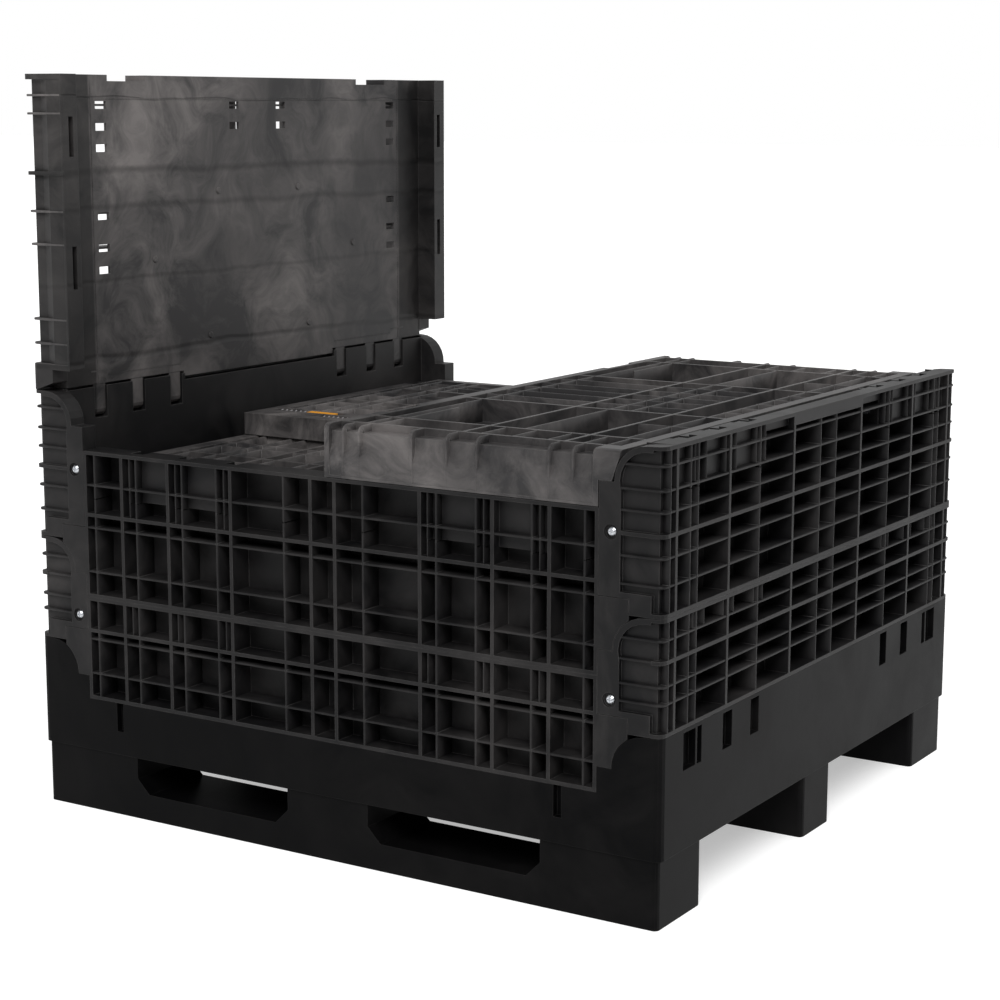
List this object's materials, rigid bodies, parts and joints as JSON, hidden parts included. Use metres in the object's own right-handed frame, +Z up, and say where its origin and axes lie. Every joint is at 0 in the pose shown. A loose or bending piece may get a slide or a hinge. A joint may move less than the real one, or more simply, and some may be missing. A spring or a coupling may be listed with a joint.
{
  "type": "collapsible bulk container",
  "caption": "Pallet-sized collapsible bulk container: base on runners, fixed tiers of side panels, hinged walls that fold flat with slide latches.",
  "frame": {"origin": "on the floor under the middle of the container", "axes": "+Z up, +X along the long side to the right end, +Y from the front to the back"},
  "size_m": [1.219, 1.143, 1.256],
  "materials": {
    "black_plastic": "satin moulded polyethylene",
    "base_plastic": "satin moulded polyethylene",
    "yellow_plastic": "satin",
    "blue_plastic": "satin",
    "zinc_steel": "bright zinc"
  },
  "bodies": {
    "frame": {"base_deck": "base_plastic", "pin_back_wall_left": "zinc_steel", "pin_back_wall_right": "zinc_steel", "pin_front_wall_left": "zinc_steel", "pin_front_wall_right": "zinc_steel", "pin_left_wall_back": "zinc_steel", "pin_left_wall_front": "zinc_steel", "pin_right_wall_back": "zinc_steel", "pin_right_wall_front": "zinc_steel", "runner_back": "base_plastic", "runner_front": "base_plastic", "runner_middle": "base_plastic", "screw_back_left_1": "zinc_steel", "screw_back_left_2": "zinc_steel", "screw_back_right_1": "zinc_steel", "screw_back_right_2": "zinc_steel", "screw_front_left_1": "zinc_steel", "screw_front_left_2": "zinc_steel", "screw_front_right_1": "zinc_steel", "screw_front_right_2": "zinc_steel", "tier1_back": "black_plastic", "tier1_end_left": "black_plastic", "tier1_end_right": "black_plastic", "tier1_front": "black_plastic", "tier2_back": "black_plastic", "tier2_end_left": "black_plastic", "tier2_end_right": "black_plastic", "tier2_front": "black_plastic"},
    "wall_left": {"wall_left": "black_plastic"},
    "wall_right": {"wall_right": "black_plastic"},
    "wall_front": {"wall_front": "black_plastic"},
    "wall_back": {"wall_back": "black_plastic"},
    "latch_back_left_blue": {"latch_slide_back_left_blue": "black_plastic", "latch_tab_back_left_blue": "blue_plastic"},
    "latch_back_left_yellow": {"latch_slide_back_left_yellow": "black_plastic", "latch_tab_back_left_yellow": "yellow_plastic"},
    "latch_back_right_blue": {"latch_slide_back_right_blue": "black_plastic", "latch_tab_back_right_blue": "blue_plastic"},
    "latch_back_right_yellow": {"latch_slide_back_right_yellow": "black_plastic", "latch_tab_back_right_yellow": "yellow_plastic"},
    "latch_front_left_blue": {"latch_slide_front_left_blue": "black_plastic", "latch_tab_front_left_blue": "blue_plastic"},
    "latch_front_left_yellow": {"latch_slide_front_left_yellow": "black_plastic", "latch_tab_front_left_yellow": "yellow_plastic"},
    "latch_front_right_blue": {"latch_slide_front_right_blue": "black_plastic", "latch_tab_front_right_blue": "blue_plastic"},
    "latch_front_right_yellow": {"latch_slide_front_right_yellow": "black_plastic", "latch_tab_front_right_yellow": "yellow_plastic"}
  },
  "joints": [
    {"name": "wall_left_fold", "type": "hinge", "parent": "frame", "child": "wall_left", "pos_m": [-0.5775, 0, 0.6845], "axis": [0, 1, 0], "range_deg": [0, 90]},
    {"name": "wall_right_raise", "type": "hinge", "parent": "frame", "child": "wall_right", "pos_m": [0.5775, 0, 0.6845], "axis": [0, 1, 0], "range_deg": [0, 90]},
    {"name": "wall_front_lift", "type": "hinge", "parent": "frame", "child": "wall_front", "pos_m": [0, -0.5395, 0.5665], "axis": [1, 0, 0], "range_deg": [0, 0.1]},
    {"name": "wall_back_lift", "type": "hinge", "parent": "frame", "child": "wall_back", "pos_m": [0, 0.5395, 0.6085], "axis": [-1, 0, 0], "range_deg": [0, 2.5]},
    {"name": "latch_back_left_blue_slide", "type": "slide", "parent": "wall_back", "child": "latch_back_left_blue", "axis": [1, 0, 0], "range_m": [0, 0.018]},
    {"name": "latch_back_left_yellow_slide", "type": "slide", "parent": "wall_back", "child": "latch_back_left_yellow", "axis": [1, 0, 0], "range_m": [0, 0.018]},
    {"name": "latch_back_right_blue_slide", "type": "slide", "parent": "wall_back", "child": "latch_back_right_blue", "axis": [-1, 0, 0], "range_m": [0, 0.018]},
    {"name": "latch_back_right_yellow_slide", "type": "slide", "parent": "wall_back", "child": "latch_back_right_yellow", "axis": [-1, 0, 0], "range_m": [0, 0.018]},
    {"name": "latch_front_left_blue_slide", "type": "slide", "parent": "wall_front", "child": "latch_front_left_blue", "axis": [1, 0, 0], "range_m": [0, 0.018]},
    {"name": "latch_front_left_yellow_slide", "type": "slide", "parent": "wall_front", "child": "latch_front_left_yellow", "axis": [1, 0, 0], "range_m": [0, 0.018]},
    {"name": "latch_front_right_blue_slide", "type": "slide", "parent": "wall_front", "child": "latch_front_right_blue", "axis": [-1, 0, 0], "range_m": [0, 0.018]},
    {"name": "latch_front_right_yellow_slide", "type": "slide", "parent": "wall_front", "child": "latch_front_right_yellow", "axis": [-1, 0, 0], "range_m": [0, 0.018]}
  ]
}
